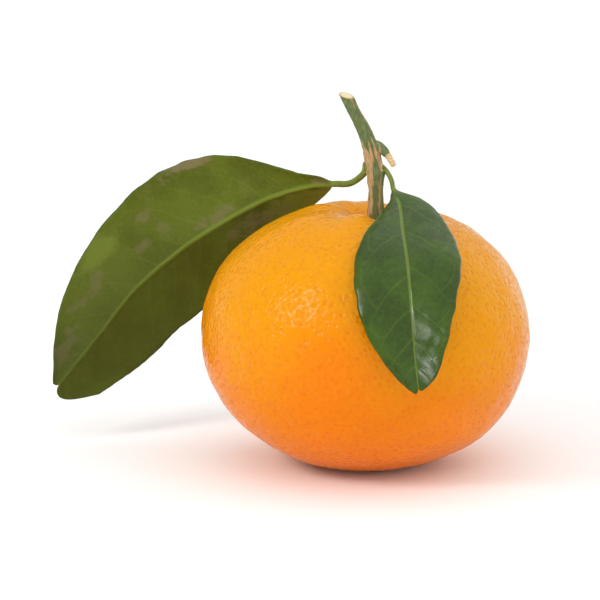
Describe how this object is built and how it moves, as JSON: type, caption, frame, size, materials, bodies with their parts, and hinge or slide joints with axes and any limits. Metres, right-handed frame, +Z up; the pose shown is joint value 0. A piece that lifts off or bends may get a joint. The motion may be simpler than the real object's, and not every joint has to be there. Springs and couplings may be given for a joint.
{
  "type": "mandarin",
  "caption": "Whole ripe mandarin, picked with a short forked twig and its leaves: a flattened round fruit resting on a small flat spot.",
  "frame": {"origin": "middle of the flat spot under the fruit that it rests on", "axes": "+Z up through the fruit's crown; -Y faces the viewer, where the small leaf hangs; +X to the viewer's right, away from the large leaf"},
  "size_m": [0.0976, 0.0741, 0.0752],
  "materials": {
    "rind": "satin",
    "calyx": "matte",
    "bark": "matte",
    "large_leaf": "matte",
    "small_leaf": "satin"
  },
  "bodies": {
    "root": {"fruit": "rind", "calyx": "calyx", "twig": "bark", "large_leaf": "large_leaf", "small_leaf": "small_leaf"}
  },
  "joints": []
}
